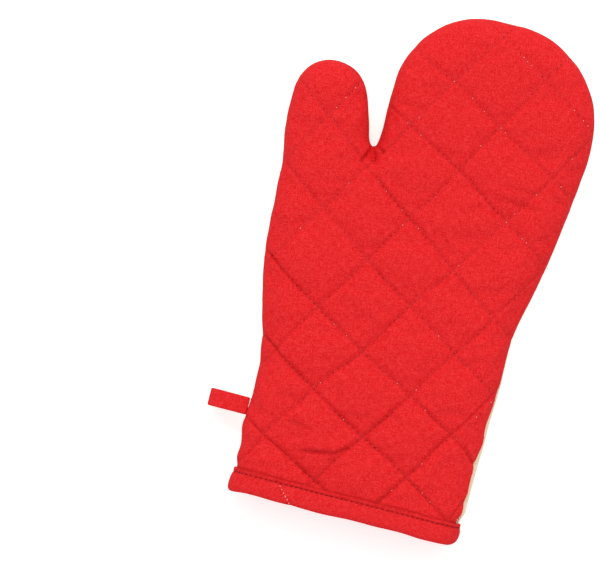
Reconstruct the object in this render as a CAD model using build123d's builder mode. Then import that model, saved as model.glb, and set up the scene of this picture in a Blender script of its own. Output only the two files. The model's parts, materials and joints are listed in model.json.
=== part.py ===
"""Quilted oven mitt, lying flat with its red face up, its fingertips towards +Y and its thumb towards -X.

Two quilted panels, front and back, are sewn together along the side seam. Each panel is a cover, a
wadding and a lining. A binding folds over the cuff edge, and a tape loop is caught in the side seam.
The soft folds at the thumb and at the knuckles turn like hinges, so every layer is divided there.

Pattern coordinates: X from the middle of the cuff, Y from the cuff edge, Z from the table.
The part's own frame is the same, moved so that the origin is under the middle of the whole mitt.
"""

import os
from functools import lru_cache
from math import cos, radians, sin, tan

from build123d import *

os.makedirs("parts", exist_ok=True)

# Driving dimensions, in millimetres and degrees

# Outline of the side seam, seen from above
MITT_LENGTH = 320.0  # cuff edge to fingertips
CUFF_WIDTH = 146.0
WRIST_LEFT_Y = 72.0  # where the thumb side starts to lean out
WRIST_RIGHT_Y = 126.0  # where the little-finger side starts to lean out
WRIST_RADIUS = 150.0
THUMB_TIP_RADIUS = 22.0
THUMB_TIP_X = -73.0  # centre of the round thumb tip
THUMB_SHORTFALL = 48.5  # how far the thumb tip stops below the fingertips
THUMB_UPRIGHT = 21.5  # upright stretch of the thumb's outer side
THUMB_ROOT_RADIUS = 100.0
THUMB_LEAN = 19.6  # slope of the thumb's inner side, from upright
CLEFT_RADIUS = 3.0  # round bottom of the cleft between thumb and fingers
FINGERS_LEFT_X = -35.0
FINGERS_RIGHT_X = 92.5
FINGERS_FLAT = 10.0  # nearly straight stretch at the fingertips
FINGERS_SKEW = 5.0  # how much rounder the little-finger corner is
KNUCKLE_STRAIGHT = 14.0  # upright stretch under the little-finger corner
KNUCKLE_RADIUS = 80.0

# Section through the padded panels
THICKNESS = 34.0  # whole mitt, lying flat
SIDE_WALL = 2.0  # upright height that the rounded edge leaves at the seam
COVER_T = 0.8
WADDING_T = 4.4
LINING_T = 0.6
LAYER_GAP = 0.1
SEAM_T = 0.6  # sewn seam between the front and back panels

# Quilting, a square grid of stitched lines
QUILT_PITCH = 39.0
QUILT_ANGLE = 57.3
QUILT_X = -59.5  # one crossing of the grid
QUILT_Y = 179.5
THREAD_WIDTH = 0.8
THREAD_DEPTH = 0.4
THREAD_GAP = 0.05

# Cuff binding and hanging loop
BINDING_WIDTH = 13.0
BINDING_T = 0.7
BINDING_STITCH_INSET = 2.0  # from the binding's upper edge to its stitching
LOOP_Y = 51.5
LOOP_WIDTH = 11.0
LOOP_REACH = 26.0
LOOP_TAPE_T = 1.4
LOOP_EYE_RADIUS = 5.2  # outside of the round far end
LOOP_ROOT_RADIUS = 2.0  # outside of the pinched end at the seam
LOOP_DROOP = 18.0
LOOP_CLEARANCE = 0.3

# Fold lines of the thumb and of the fingers
THUMB_FOLD_SLOPE = 38.0  # down from the cleft towards the thumb side
FINGER_FOLD_RISE = 24.0  # height of the finger fold above the cleft
FOLD_GAP = 0.6

# Values worked out from the driving dimensions
WALL = COVER_T + LAYER_GAP + WADDING_T + LAYER_GAP + LINING_T
SEAM_Z = THICKNESS / 2
EDGE_RADIUS = SEAM_Z - SIDE_WALL / 2
CUFF_HALF = CUFF_WIDTH / 2
FAR = 2 * MITT_LENGTH  # reaches past the mitt in any direction

thumb_left_x = THUMB_TIP_X - THUMB_TIP_RADIUS
thumb_tip_y = MITT_LENGTH - THUMB_SHORTFALL - THUMB_TIP_RADIUS
finger_width = FINGERS_RIGHT_X - FINGERS_LEFT_X
index_corner = (finger_width - FINGERS_FLAT - FINGERS_SKEW) / 2
little_corner = index_corner + FINGERS_SKEW
knuckle_y = MITT_LENGTH - little_corner - KNUCKLE_STRAIGHT

# The straight inner side of the thumb touches the round tip and meets the fingers' side at the cleft.
thumb_side_end = Vector(
    THUMB_TIP_X + THUMB_TIP_RADIUS * cos(radians(THUMB_LEAN)),
    thumb_tip_y + THUMB_TIP_RADIUS * sin(radians(THUMB_LEAN)),
)
cleft_apex = Vector(
    FINGERS_LEFT_X,
    thumb_side_end.Y - (FINGERS_LEFT_X - thumb_side_end.X) / tan(radians(THUMB_LEAN)),
)

# The cleft line runs up the middle of the open cleft, from the centre of its round bottom.
cleft_along = Vector(0, 1).rotate(Axis.Z, THUMB_LEAN / 2)
cleft_centre = cleft_apex + cleft_along * (CLEFT_RADIUS / sin(radians(THUMB_LEAN / 2)))
finger_fold_y = cleft_centre.Y + FINGER_FOLD_RISE

# The loop turns about the middle of its pinched end, just outside the seam.
loop_pivot_x = -CUFF_HALF - LOOP_CLEARANCE - LOOP_ROOT_RADIUS
loop_span = LOOP_REACH - LOOP_ROOT_RADIUS - LOOP_EYE_RADIUS
loop_tip_x = loop_pivot_x - loop_span * cos(radians(LOOP_DROOP)) - LOOP_EYE_RADIUS

# The origin lies under the middle of the whole mitt, loop included.
left_x = min(thumb_left_x, loop_tip_x)
pattern_origin = Vector(-(left_x + FINGERS_RIGHT_X) / 2, -MITT_LENGTH / 2)
table = Plane(origin=pattern_origin)


@lru_cache
def pillow(inset):
    """Closed padded form of the mitt, running on past the cuff, with its skin moved inwards by inset."""
    with BuildPart() as form:
        with BuildSketch(table.offset(SEAM_Z)):
            with BuildLine():
                outer_side = FilletPolyline(
                    (-CUFF_HALF, -CUFF_WIDTH),
                    (-CUFF_HALF, WRIST_LEFT_Y),
                    (thumb_left_x, thumb_tip_y - THUMB_UPRIGHT),
                    (thumb_left_x, thumb_tip_y),
                    radius=[WRIST_RADIUS, THUMB_ROOT_RADIUS],
                )
                TangentArc(outer_side @ 1, thumb_side_end, tangent=outer_side % 1)
                FilletPolyline(
                    thumb_side_end,
                    cleft_apex,
                    (FINGERS_LEFT_X, MITT_LENGTH),
                    (FINGERS_RIGHT_X, MITT_LENGTH),
                    (FINGERS_RIGHT_X, knuckle_y),
                    (CUFF_HALF, WRIST_RIGHT_Y),
                    (CUFF_HALF, -CUFF_WIDTH),
                    radius=[CLEFT_RADIUS, index_corner, little_corner, KNUCKLE_RADIUS, WRIST_RADIUS],
                )
                Line((CUFF_HALF, -CUFF_WIDTH), (-CUFF_HALF, -CUFF_WIDTH))
            make_face()
            if inset > 0:
                offset(amount=-inset)
        extrude(amount=SEAM_Z - inset, both=True)
        flats = form.faces().filter_by(Axis.Z).sort_by(Axis.Z)
        fillet(flats[0].edges() + flats[-1].edges(), radius=EDGE_RADIUS - inset)
    return form.part


def prism(corners, low=-FAR, high=FAR):
    """Upright block over a polygon of the pattern, from the height low to the height high."""
    with BuildPart() as block:
        with BuildSketch(table.offset(low)):
            with BuildLine():
                Polyline(*corners, close=True)
            make_face()
        extrude(amount=high - low)
    return block.part


def cross_band(y_low, y_high):
    """Everything between two heights along the mitt."""
    return prism([(-FAR, y_low), (FAR, y_low), (FAR, y_high), (-FAR, y_high)])


@lru_cache
def shell(outer, inner):
    """Closed shell of the mitt between two insets from its skin."""
    with BuildPart() as skin:
        add(pillow(outer))
        add(pillow(inner), mode=Mode.SUBTRACT)
    return skin.part


def wall(outer, inner, *zones):
    """Shell of the mitt between two insets, cut to every zone."""
    with BuildPart() as stretch:
        add(shell(outer, inner))
        for zone in zones:
            add(zone, mode=Mode.INTERSECT)
    return stretch.part


def save(piece, name):
    """Labels a finished piece and writes it."""
    piece.label = name
    export_step(piece, f"parts/{name}.step")


# Sections of the mitt, divided at the thumb fold and at the finger fold

fold_along = Vector(-1, 0).rotate(Axis.Z, THUMB_FOLD_SLOPE)
fold_half_gap = fold_along.rotate(Axis.Z, -90) * (FOLD_GAP / 2)
thumb_fold_end = cleft_centre + fold_along * CUFF_WIDTH
hand_top = finger_fold_y - FOLD_GAP / 2
fingers_bottom = finger_fold_y + FOLD_GAP / 2


def cleft_point(y):
    """Point of the cleft line at the height y."""
    return cleft_centre + cleft_along * ((y - cleft_centre.Y) / cleft_along.Y)


section_corners = {
    "hand": [
        (FAR, 0),
        (FAR, hand_top),
        cleft_point(hand_top),
        cleft_centre - fold_half_gap,
        thumb_fold_end - fold_half_gap,
        (thumb_fold_end.X, 0),
    ],
    "thumb": [
        cleft_point(FAR),
        cleft_centre + fold_half_gap,
        thumb_fold_end + fold_half_gap,
        (thumb_fold_end.X, FAR),
    ],
    "fingers": [cleft_point(FAR), cleft_point(fingers_bottom), (FAR, fingers_bottom), (FAR, FAR)],
}
seam_low = SEAM_Z - SEAM_T / 2
seam_high = SEAM_Z + SEAM_T / 2
side_heights = {"front": (seam_high, FAR), "back": (-FAR, seam_low)}

# Layers of a panel, as insets from the skin. Under the cuff binding they step inwards by its thickness.

step = BINDING_T + LAYER_GAP
step_start = BINDING_WIDTH + LAYER_GAP
step_end = step_start + COVER_T
wadding_start = step_end + LAYER_GAP
wadding_out = COVER_T + LAYER_GAP
wadding_in = wadding_out + WADDING_T
lining_out = wadding_in + LAYER_GAP
above_binding = cross_band(step_start, FAR)
at_step = cross_band(step_start, step_end)
under_binding = cross_band(step, step_end)

layers = {
    "cover": [
        (0, COVER_T, above_binding),
        (0, step + COVER_T, at_step),
        (step, step + COVER_T, under_binding),
    ],
    "wadding": [
        (wadding_out, wadding_in, cross_band(wadding_start, FAR)),
        (step + wadding_out, wadding_in - step, cross_band(step, wadding_start)),
    ],
    "lining": [
        (lining_out, WALL, above_binding),
        (lining_out - step, WALL, at_step),
        (lining_out - step, WALL - step, under_binding),
    ],
}

# Quilting thread, sunk into grooves of the covers


def quilting_grid(width):
    """Upright strips of the given width on every quilting line."""
    lines = 2 * round(MITT_LENGTH * 0.75 / QUILT_PITCH) + 1
    with BuildPart() as grid:
        with BuildSketch(table.offset(-THICKNESS)):
            for turn in (QUILT_ANGLE, QUILT_ANGLE + 90):
                with Locations(Location((QUILT_X, QUILT_Y), turn)):
                    with GridLocations(FAR, QUILT_PITCH, 1, lines):
                        Rectangle(FAR, width)
        extrude(amount=3 * THICKNESS)
    return grid.part


above_step = cross_band(step_end, FAR)
thread_net = wall(0, THREAD_DEPTH, quilting_grid(THREAD_WIDTH), above_step)
groove_net = wall(0, THREAD_DEPTH + THREAD_GAP, quilting_grid(THREAD_WIDTH + 2 * THREAD_GAP), above_step)

# Quilted panels, front and back

for section, corners in section_corners.items():
    for side, heights in side_heights.items():
        panel_zone = prism(corners, *heights)
        for layer, stretches in layers.items():
            with BuildPart() as panel_layer:
                for outer, inner, band in stretches if section == "hand" else stretches[:1]:
                    add(wall(outer, inner, band, panel_zone))
                if layer == "cover":
                    add(groove_net, mode=Mode.SUBTRACT)
            save(panel_layer.part, f"{side}_{layer}_{section}")

        with BuildPart() as quilting:
            add(thread_net)
            add(panel_zone, mode=Mode.INTERSECT)
        save(quilting.part, f"{side}_quilting_{section}")

# Side seam, with the two ends of the loop's tape caught in it

loop_low = LOOP_Y - LOOP_WIDTH / 2
loop_high = LOOP_Y + LOOP_WIDTH / 2


def loop_side(margin):
    """Everything beside the loop on the thumb side of the cuff, with a margin along the seam."""
    y_low = loop_low - margin
    y_high = loop_high + margin
    return prism([(-FAR, y_low), (0, y_low), (0, y_high), (-FAR, y_high)])


for section, corners in section_corners.items():
    seam_zone = prism(corners, seam_low, seam_high)
    with BuildPart() as side_seam:
        add(wall(0, WALL, above_binding, seam_zone))
        if section == "hand":
            add(wall(step, WALL - step, cross_band(step, step_start), seam_zone))
            add(loop_side(LAYER_GAP), mode=Mode.SUBTRACT)
    save(side_seam.part, f"side_seam_{section}")

with BuildPart() as loop_ends:
    add(wall(0, WALL, loop_side(0), prism(section_corners["hand"], seam_low, seam_high)))
save(loop_ends.part, "loop_ends")

# Binding folded over the cuff edge, and the thread that holds it

stitch_y = BINDING_WIDTH - BINDING_STITCH_INSET
binding_band = cross_band(0, BINDING_WIDTH)
stitch_band = cross_band(stitch_y - THREAD_WIDTH / 2, stitch_y + THREAD_WIDTH / 2)
stitch_groove = cross_band(
    stitch_y - THREAD_WIDTH / 2 - THREAD_GAP, stitch_y + THREAD_WIDTH / 2 + THREAD_GAP
)

with BuildPart() as cuff_binding:
    add(wall(0, BINDING_T, binding_band))
    add(wall(WALL - BINDING_T, WALL, binding_band))
    add(wall(0, WALL, cross_band(0, BINDING_T)))
    add(wall(0, THREAD_DEPTH + THREAD_GAP, stitch_groove), mode=Mode.SUBTRACT)
    add(wall(WALL - THREAD_DEPTH - THREAD_GAP, WALL, stitch_groove), mode=Mode.SUBTRACT)
save(cuff_binding.part, "cuff_binding")

with BuildPart() as binding_stitching:
    add(wall(0, THREAD_DEPTH, stitch_band))
    add(wall(WALL - THREAD_DEPTH, WALL, stitch_band))
save(binding_stitching.part, "binding_stitching")

# Hanging loop: a folded tape that droops from the side seam

loop_out = Vector(-1, 0, 0).rotate(Axis.Y, -LOOP_DROOP)
loop_pivot = pattern_origin + Vector(loop_pivot_x, LOOP_Y, SEAM_Z)
loop_plane = Plane(origin=loop_pivot, x_dir=loop_out, z_dir=(0, 1, 0))

with BuildPart() as hanging_loop:
    with BuildSketch(loop_plane):
        Circle(LOOP_ROOT_RADIUS)
        with Locations((loop_span, 0)):
            Circle(LOOP_EYE_RADIUS)
        make_hull()
        offset(amount=-LOOP_TAPE_T, mode=Mode.SUBTRACT)
    extrude(amount=LOOP_WIDTH / 2, both=True)
save(hanging_loop.part, "hanging_loop")
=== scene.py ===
"""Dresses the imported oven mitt: quilted covers, lining, stitching, cuff binding, hanging loop and a stage."""

import json
import math
import random
from functools import partial

import bmesh
import bpy
import numpy as np
from bpy.props import FloatProperty, FloatVectorProperty, IntProperty, PointerProperty
from bpy.types import Operator, Panel, PropertyGroup
from mathutils import Matrix, Vector, noise
from mathutils.bvhtree import BVHTree


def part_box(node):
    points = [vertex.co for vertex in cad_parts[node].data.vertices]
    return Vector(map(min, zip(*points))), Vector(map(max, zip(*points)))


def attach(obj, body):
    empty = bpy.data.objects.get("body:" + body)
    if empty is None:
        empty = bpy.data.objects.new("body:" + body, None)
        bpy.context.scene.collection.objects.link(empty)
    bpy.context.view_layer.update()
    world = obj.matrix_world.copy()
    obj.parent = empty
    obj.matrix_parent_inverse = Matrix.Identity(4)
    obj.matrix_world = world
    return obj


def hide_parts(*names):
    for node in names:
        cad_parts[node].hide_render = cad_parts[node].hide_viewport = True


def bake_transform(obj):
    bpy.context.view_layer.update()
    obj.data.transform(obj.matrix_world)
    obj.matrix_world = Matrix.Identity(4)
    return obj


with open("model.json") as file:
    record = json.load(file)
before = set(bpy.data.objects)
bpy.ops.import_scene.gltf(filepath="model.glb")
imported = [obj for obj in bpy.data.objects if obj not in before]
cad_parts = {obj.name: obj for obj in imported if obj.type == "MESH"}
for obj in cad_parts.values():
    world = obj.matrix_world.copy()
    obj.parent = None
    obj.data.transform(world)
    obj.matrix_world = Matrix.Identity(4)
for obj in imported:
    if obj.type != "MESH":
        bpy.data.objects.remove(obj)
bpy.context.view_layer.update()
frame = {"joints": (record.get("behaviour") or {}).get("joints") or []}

bl_info = {
    "name": "Quilted Oven Mitt",
    "version": (1, 0, 0),
    "blender": (4, 5, 0),
    "location": "3D View > Sidebar > Oven Mitt",
    "description": "Makes the cloth, stitching and stage of a quilted oven mitt around its packed frame",
    "category": "Object",
}

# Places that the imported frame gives. The pattern's origin is the middle of the cuff edge, on the table.

MM = 0.001
binding_low, binding_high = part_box("cuff_binding")
loop_low, loop_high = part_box("hanging_loop")
pattern_origin = Vector(((binding_low.x + binding_high.x) / 2, binding_low.y, binding_low.z))
THICKNESS = (binding_high.z - binding_low.z) / MM
SEAM_Z = THICKNESS / 2
CUFF_HALF = (binding_high.x - binding_low.x) / MM / 2
BINDING_WIDTH = (binding_high.y - binding_low.y) / MM
LOOP_Y = ((loop_low.y + loop_high.y) / 2 - binding_low.y) / MM
joints = {joint["name"]: joint for joint in frame["joints"]}

# Outline of the mitt in the pattern, in millimetres: corner, and the radius that rounds it

CUFF_TAIL = 26.0
CLEFT = (-37.6, 219.0, 0.6)
WRIST_RIGHT = (74.0, 131.0, 150.0)
OUTLINE = (
    (-CUFF_HALF, -CUFF_TAIL, 0.0),
    (-73.0, 72.0, 150.0),  # left of the wrist
    (-94.7, 228.0, 100.0),  # root of the thumb
    (-94.7, 404.3, 23.1),  # tip of the thumb
    (-41.6, 229.8, 3.0),
    CLEFT,
    (-35.9, 231.6, 3.0),
    (-35.0, 320.0, 54.0),  # index finger
    (92.5, 320.0, 61.25),  # little finger
    (92.5, 244.75, 80.0),  # knuckle
    WRIST_RIGHT,
    (CUFF_HALF, -CUFF_TAIL, 0.0),
)
CLEFT_LEAN = math.tan(math.radians(8.2))
ARC_STEP = 3.0

# Section of the padded form in millimetres, and how finely each skin is meshed

EDGE_RADIUS = 16.0
EDGE_SEGMENTS = 8
HALF_WALL = SEAM_Z - EDGE_RADIUS
CORNER_X = CUFF_HALF - EDGE_RADIUS
CUFF_CORNERS = (
    (CORNER_X, SEAM_Z + HALF_WALL),
    (-CORNER_X, SEAM_Z + HALF_WALL),
    (-CORNER_X, SEAM_Z - HALF_WALL),
    (CORNER_X, SEAM_Z - HALF_WALL),
)
COVER_CELLS = 18  # faces across one quilting pitch
LINING_CELLS = 12
COVER_START = 6.5  # height above the cuff edge at which the cloth is cut off
LINING_START = 4.0
LINING_THICKNESS = 0.0005  # in metres

# Quilting lines, sewn by hand: places along each line, how far it strays there and how deep it pulls

LATTICE_TURN = math.radians(57.3)
RISING = np.array((math.cos(LATTICE_TURN), math.sin(LATTICE_TURN)))
FALLING = np.array((math.sin(LATTICE_TURN), -math.cos(LATTICE_TURN)))
LATTICE_CENTRE = np.array((-59.4, 178.3))
STRAY = 1
PULL = 2
FALLING_LINES = {
    -4: ((100, 0.0, 1.0),),
    -3: ((78, -3.3, 0.8), (91, -1.4, 1.2), (104, 0.2, 1.3), (120, 2.2, 1.3), (135, 4.0, 1.2)),
    -2: ((39, 0.0, 1.0), (65, 0.0, 1.1), (91, 1.1, 0.7), (104, 1.7, 1.1), (143, 4.4, 0.8), (169, 6.0, 0.8)),
    -1: (
        (13, -2.6, 0.9), (45, -2.6, 0.8), (65, -1.2, 0.7),
        (91, 0.0, 0.55), (130, 2.8, 0.6), (156, 5.2, 0.7),
    ),
    0: (
        (-26, 4.1, 0.35), (0, 3.1, 0.35), (26, 1.4, 0.35),
        (52, 0.6, 0.75), (78, 0.4, 0.45), (143, 1.4, 0.35),
    ),
    1: (
        (-52, 6.3, 0.2), (-39, 5.6, 0.3), (0, 1.2, 0.5), (13, 0.0, 1.0),
        (26, -1.0, 1.0), (52, -2.8, 0.7), (91, -5.0, 0.4), (130, -6.7, 0.35),
    ),
    2: ((-16, -3.0, 0.5), (0, -1.2, 0.5), (16, -0.3, 0.6), (37, 1.2, 0.7), (60, 1.5, 0.6), (104, 0.5, 0.25)),
    3: (
        (-27, -6.1, 0.25), (-9, -4.3, 0.3), (4, -1.9, 0.35), (20, -1.9, 0.5),
        (37, -1.3, 0.5), (60, 0.0, 0.35), (91, 1.0, 0.25),
    ),
    4: ((0, 0.0, 0.25),),
}
RISING_LINES = {
    -2: ((0, 0.0, 0.25),),
    -1: ((0, 0.8, 0.25), (38, -1.6, 0.25), (71, -2.4, 0.3)),
    0: (
        (-26, -1.4, 0.4), (0, -1.2, 0.4), (26, -2.0, 0.65), (45, -1.8, 0.7),
        (65, -1.0, 0.6), (91, -2.4, 0.35), (149, -2.8, 0.3),
    ),
    1: (
        (-78, 2.4, 0.45), (-26, 2.4, 0.5), (26, 1.2, 0.5), (52, 1.0, 0.45),
        (91, -0.8, 0.4), (104, -1.8, 0.55), (156, -4.3, 0.2),
    ),
    2: (
        (-130, -4.6, 0.55), (-104, -3.0, 0.4), (-65, -1.2, 0.65), (-45, 1.4, 0.7),
        (13, 1.6, 0.4), (26, 2.6, 0.5), (78, 4.2, 0.3), (130, 3.6, 0.4),
    ),
    3: (
        (-104, 0.3, 0.7), (-65, 1.8, 1.15), (-39, 2.8, 0.6),
        (-13, 1.9, 0.65), (26, 3.2, 0.45), (65, 3.1, 0.4),
    ),
    4: ((-91, -2.0, 1.1), (-65, -1.0, 0.7), (-52, -1.0, 1.0), (-26, 0.5, 0.6), (-13, 0.5, 0.5)),
    5: ((0, 0.0, 0.5),),
}
WAVER = 0.35
WAVER_LENGTHS = (11.0, 17.0)

# Seam on the right of the wrist, which rolls up over the edge: lift and heights, in millimetres

ROLL_LIFT = 8.0
ROLL_SPREAD = 11.0
ROLL_START = (-14.0, 8.0)
ROLL_EASE = (74.0, 92.0)
ROLL_EASE_SHARE = 0.55
ROLL_END = (108.0, 134.0)
ROLL_TOP = 150.0
ROLL_MARGIN = 1.0
ROLL_DIP = 0.2
ROLL_DIP_Y = 65.0
ROLL_DIP_WIDTH = 5.0
ROLL_WAVE = 0.08
ROLL_WAVE_LENGTH = 6.0
WRIST_BEND_Y = 113.8

# Edges drawn in near the cuff and in the cleft: how far, where it starts and ends, and its reach

RIGHT_HOLLOW = 2.6
RIGHT_HOLLOW_START = (-40.0, 45.0)
RIGHT_HOLLOW_END = (70.0, 110.0)
RIGHT_HOLLOW_REACH = 50.0
LEFT_HOLLOW = 2.6
LEFT_HOLLOW_END = (12.0, 32.0)
LEFT_HOLLOW_REACH = 40.0
LEFT_DENT = 3.6
LEFT_DENT_Y = 28.5
LOOP_DENT = 1.4
LOOP_DENT_REACH = (14.0, 2.0)
LOOP_DENT_HEIGHT = (0.5, 5.0)
DENT_WIDTH = 9.0
CLEFT_DROP = 4.0
CLEFT_DROP_UP = 8.0
CLEFT_DROP_STRETCH = 2.2
CLEFT_DROP_REACH = 10.0
CLEFT_DROP_HEIGHT = 12.0
CLEFT_PINCH = 0.7
CLEFT_PINCH_UP = 3.0
CLEFT_PINCH_REACH = 4.5
CLEFT_PINCH_WIDTH = 6.0
TUCK = 1.0  # how far the cover lies inside the binding
FLAT_UNDER_BINDING = (BINDING_WIDTH - 1.5, BINDING_WIDTH + 3.0)
INSIDE_BINDING = (BINDING_WIDTH + 0.6, BINDING_WIDTH + 9.0)

# Relief of the quilting, in millimetres

FINGERS_FLATTER = 0.35  # share of the padding that the fingers lack
FINGERS_FROM = (150.0, 250.0)
UNEVENNESS = ((0.3, 0.035, 1), (0.2, 0.09, 2))  # depth, scale and seed
PULL_REACH = 5.5  # how far a sewn line draws the padding down
SOFT_PULL = 0.45  # share of that pull that every line has
EDGE_WAVE = 0.55
EDGE_WAVE_SCALE = 0.085
EDGE_WAVE_FROM = (40.0, 90.0)
FINE_WAVE = 0.12
FINE_WAVE_SCALE = 0.22
NOTCH_WIDTH = 1.35
NOTCH_BASE = 0.72  # depth between the needle holes, as a share
NOTCH_DIMPLE = 0.4
DIVIDING_NOTCH = 0.3  # the line that divides the thumb has a shallower notch
DIVIDING_WIDTH = 6.0
PUCKER = 0.5
PUCKER_REACH = 6.0
SEAM_SINK = 0.7
BACK_GAP = 0.25  # between the back cloth and the table
SETTLE_LIMIT = 0.0012  # how far the simulation may move the cloth, in metres
TABLE_GAP = 0.00005  # in metres

# Painted shade: how dark the cloth is painted in its grooves, in its seam, in its creases and in the shadow
# line beside the binding

PAINTED_LINE_SHADE = 0.45
PAINTED_SEAM_SHADE = 0.5
PAINTED_CREASE_SHADE = 0.95
PAINTED_BINDING_SHADOW = 0.8

# Cloth simulation of the padded skin

CLOTH_SETTINGS = {
    "vertex_group_mass": "sewn",
    "quality": 6,
    "mass": 0.15,
    "tension_stiffness": 12.0,
    "compression_stiffness": 12.0,
    "shear_stiffness": 6.0,
    "bending_stiffness": 0.4,
    "shrink_min": -0.03,
    "use_pressure": True,
    "uniform_pressure_force": 3.0,
}

# Soft creases of the front panel: two ends in the pattern, depth and half width, in millimetres

CREASES = (
    (-48.0, 49.5, -31.0, 48.0, 0.9, 2.4),
    (-39.0, 33.0, -13.0, 37.0, 2.1, 1.6),
    (-16.0, 36.4, -7.0, 43.0, 1.7, 1.6),
    (36.0, 214.0, 74.0, 212.0, 0.9, 2.6),
    (42.0, 222.0, 70.0, 221.0, 0.6, 2.4),
    (30.0, 205.5, 58.0, 203.0, 0.5, 2.4),
    (-37.4, 228.0, -43.6, 213.0, 2.0, 1.15),
    (-37.2, 225.0, -35.2, 214.5, 1.2, 1.05),
    (-37.6, 227.0, -29.5, 222.6, 1.8, 1.1),
)
CREASE_SWELL = 0.35  # share of the depth that swells up beside a crease
CREASE_SWELL_WIDTH = 2.4

# Stitches: half length and half width of each kind in metres, and how often the kinds come

STITCH_SHARE = 0.40  # half length of a stitch, as a share of the stitch length
FLECK = (0.00034, 0.00027)
HOLE = (0.0004, 0.00028)
HOLE_FROM = 0.68  # a draw above this gives a dark mark of painted shade in an open needle hole
FLECK_SHARE = 0.06  # a draw below this gives a fleck of bare fibre
FLECK_SHARE_ADDED = 0.18  # more of them towards the fingertips
FLECK_SHARE_SELDOM = 0.05
FLECK_MORE = (150.0, 260.0)
FLECK_STRAY = 0.3
STITCH_SINK = 0.35
STITCH_SEED = 11
RAY_START = 30.0  # how far outside the mitt the search for its surface starts, in millimetres

# Folded binding strip in section, in millimetres: how far it stands out from the cover, and its height

BINDING_PROFILE = (
    (-6.8, 12.6),
    (-7.1, 9.0),
    (-7.0, 4.0),
    (-6.2, 1.2),
    (-4.6, -0.5),
    (-2.6, -0.9),
    (-0.6, -0.4),
    (0.4, 1.2),
    (0.8, 4.0),
    (0.9, 8.0),
    (0.7, 9.8),
    (0.2, 10.8),
    (0.2, 11.2),
    (0.65, 12.0),
    (0.85, 12.9),
    (0.5, 13.5),
    (-0.8, 13.4),
)
CORNER_STEPS = 10
RUN_STEPS = 38
BIAS = math.sqrt(0.5)
TOPSTITCH_AT = 11.0
TOPSTITCH_STEP = 3.2
TOPSTITCH_HALF = 0.0012  # in metres

# Unevenness of the sewn cuff, in millimetres

LEFT_CORNER = 9.0  # how far along the cuff the left corner is full
LEFT_CORNER_OUT = 1.6
LEFT_CORNER_IN = 1.4
LEFT_CORNER_DOWN = 1.2
LEFT_CORNER_LOW = (2.0, 16.0)
RIGHT_CORNER = 5.0
RIGHT_CORNER_IN = 1.6
RIGHT_CORNER_ROUND = 4.5
RIGHT_CORNER_HEIGHT = 6.2
RIGHT_CORNER_TOP = 5.0
RIGHT_TOP_IN = 0.7
RIGHT_TOP = (9.0, 13.5)
CUFF_WAVES = ((0.35, 13.0, 0.0), (0.2, 5.1, 1.0))  # height, length and start
BINDING_GAP = 0.2  # between the binding and the table

# Slanting join of the binding in the pattern, and its stitches

JOIN_START = (-42.4, 9.2)
JOIN_END = (-34.5, 0.4)
JOIN_MIDDLE = (-38.5, 4.8)
JOIN_SLANT = 0.9
JOIN_STITCHES = 6
JOIN_LONG_STITCH = 3

# Tack at the lower right seam: each stitch's distance from the cuff edge, height and slant

TACK = (
    (14.0, 25.0, 0.8),
    (14.6, 22.6, -0.8),
    (15.6, 25.2, 0.7),
    (16.2, 22.8, -0.7),
    (17.3, 25.0, 0.8),
    (17.6, 22.6, -0.5),
)
TACK_HALF = 0.0011  # in metres

# Hanging loop, in metres: outside radii at the seam and at the eye, and the distance between their centres

LOOP_DROOP = math.radians(18.0)
LOOP_ROOT = 0.002
LOOP_EYE = 0.0052
LOOP_SPAN = 0.0188
LOOP_ENDS_BEVEL = 0.0003

# Camera over the table: the pattern point in the middle of the picture, its width in millimetres and its turn

VIEW_CENTRE = (-61.2, 132.7)
VIEW_WIDTH = 370.0
VIEW_TURN = math.radians(14.3)
CAMERA_LENS = 300.0
CAMERA_SENSOR = 36.0

# Light and floor of the stage, in metres and watts, and the pattern point that the lamp faces

WHITE = (1.0, 1.0, 1.0)
WORLD_LEVEL = 0.80
LAMP_AWAY = (-0.9, 4.4, 4.8)
LAMP_SIZE = 3.2
LAMP_POWER = 160.0
LAMP_AIM = (0.0, 160.0, 20.0)
FLOOR_HALF = 4.0
FLOOR_GLOW = 0.5

# Painted shade of the cloth: the colour that the sewn lines and the grooves are multiplied by, and how much

PAINTED_SHADE_COLOUR = (0.62, 0.42, 0.42)
PAINTED_STITCH_SHADOW_STRENGTH = 0.48
PAINTED_GROOVE_SHADE_STRENGTH = 0.62

PANELS = (("front", "main"), ("front", "thumb"), ("back", "main"), ("back", "thumb"))
SECTION_NODES = {"main": ("hand", "fingers"), "thumb": ("thumb",)}


def length(name, description, default):
    """Property for a length in metres."""
    return FloatProperty(name=name, description=description, default=default, unit="LENGTH")


def tint(name, description, default):
    """Property for a colour."""
    return FloatVectorProperty(name=name, description=description, default=default, subtype="COLOR")


class MittSizes(PropertyGroup):
    """Sizes of the dressed mitt."""

    quilt_pitch: length("Quilting pitch", "Distance between quilting lines", 0.039)
    puff: length("Puff", "Height of a padded cell above its stitching", 0.0022)
    groove: length("Groove", "Depth of the narrow groove that the thread pulls", 0.0014)
    cloth: length("Cloth thickness", "Thickness of a cover's cloth", 0.0008)
    lining_inset: length("Lining inset", "Distance from the skin in to the lining", 0.0057)
    stitch_step: length("Stitch length", "Distance from one needle hole to the next", 0.0035)
    thread: length("Thread", "Half thickness of the sewing thread", 0.00022)
    tape: length("Loop tape", "Thickness of the folded loop tape", 0.0013)
    settle_frames: IntProperty(
        name="Settling frames", description="Frames for which the padded cloth settles", default=14, min=1
    )


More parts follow.
